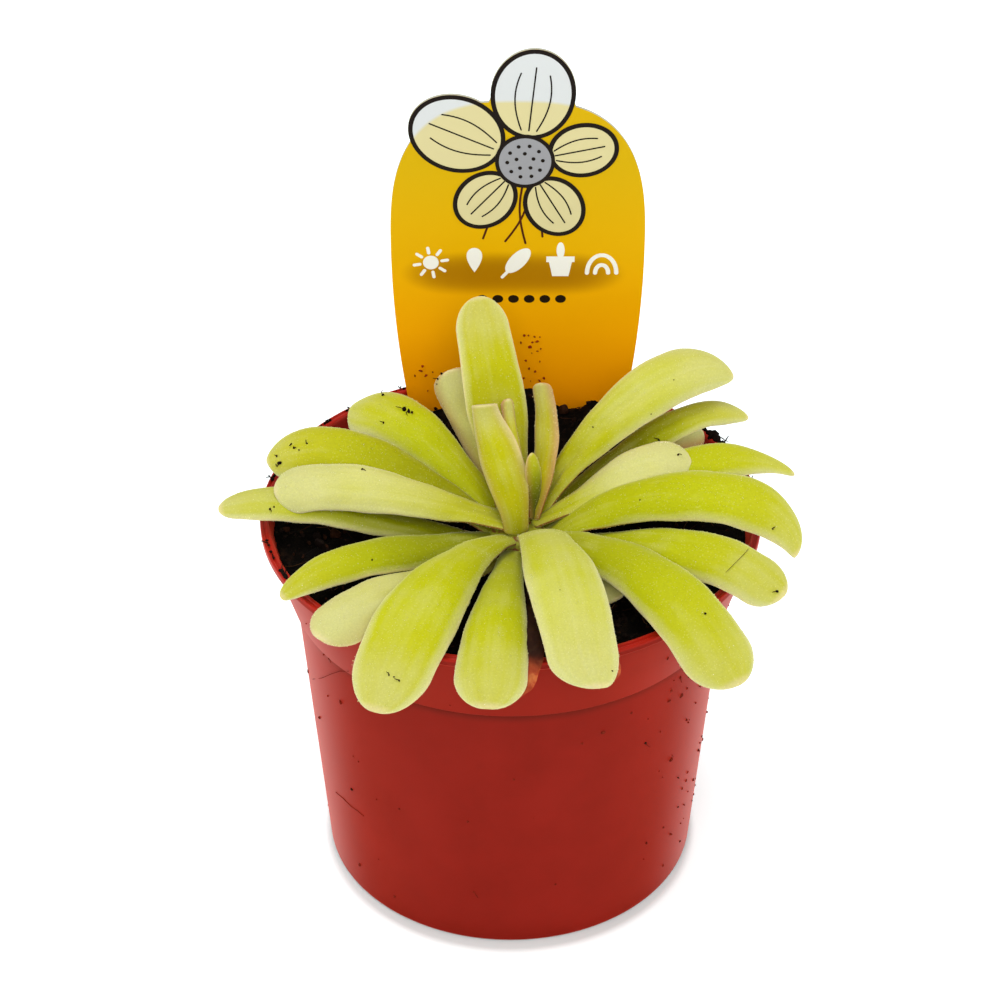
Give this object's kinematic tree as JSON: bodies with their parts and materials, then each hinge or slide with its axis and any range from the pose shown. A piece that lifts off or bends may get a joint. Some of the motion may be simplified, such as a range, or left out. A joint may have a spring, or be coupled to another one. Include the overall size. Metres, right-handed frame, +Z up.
{
  "type": "potted butterwort",
  "caption": "Rosette of broad, curled, fleshy yellow-green leaves in a small tapered plastic nursery pot of peat, with a flat push-in plant label behind.",
  "frame": {"origin": "centre of the pot's underside, on the surface it stands on", "axes": "+Z up along the pot's axis, -Y towards the front of the plant, +Y towards the label, +X to the right seen from the front"},
  "size_m": [0.1035, 0.1014, 0.1467],
  "materials": {
    "pot": "injection-moulded red polypropylene, satin, with specks of dried peat",
    "peat": null,
    "rootstock": null,
    "leaf": null,
    "leaf_pale": null,
    "leaf_withered": "thin, dry and papery orange-brown",
    "label": "printed plastic card, satin"
  },
  "bodies": {
    "root": {"pot": "pot", "soil": "peat", "crown": "rootstock", "label": "label", "leaf_back_tall": "leaf", "leaf_heart_folded": "leaf", "leaf_heart_sliver": "leaf", "leaf_heart_right": "leaf", "leaf_heart_small": "leaf", "leaf_right_raised": "leaf", "leaf_right_back": "leaf", "leaf_right_low": "leaf", "leaf_right_broad": "leaf", "leaf_right_front": "leaf", "leaf_right_tip": "leaf", "leaf_right_under": "leaf", "leaf_front_right": "leaf", "leaf_front_under": "leaf", "leaf_front_middle": "leaf", "leaf_front_broad": "leaf", "leaf_left_front": "leaf", "leaf_left_low": "leaf", "leaf_left_back": "leaf", "leaf_back_spoon": "leaf", "leaf_right_pale": "leaf_pale", "leaf_left_pale": "leaf_pale", "leaf_left_pale_low": "leaf_pale", "leaf_front_pale": "leaf_pale", "leaf_back_pale": "leaf_pale", "withered_leaf_left": "leaf_withered", "withered_leaf_right": "leaf_withered"}
  },
  "joints": []
}
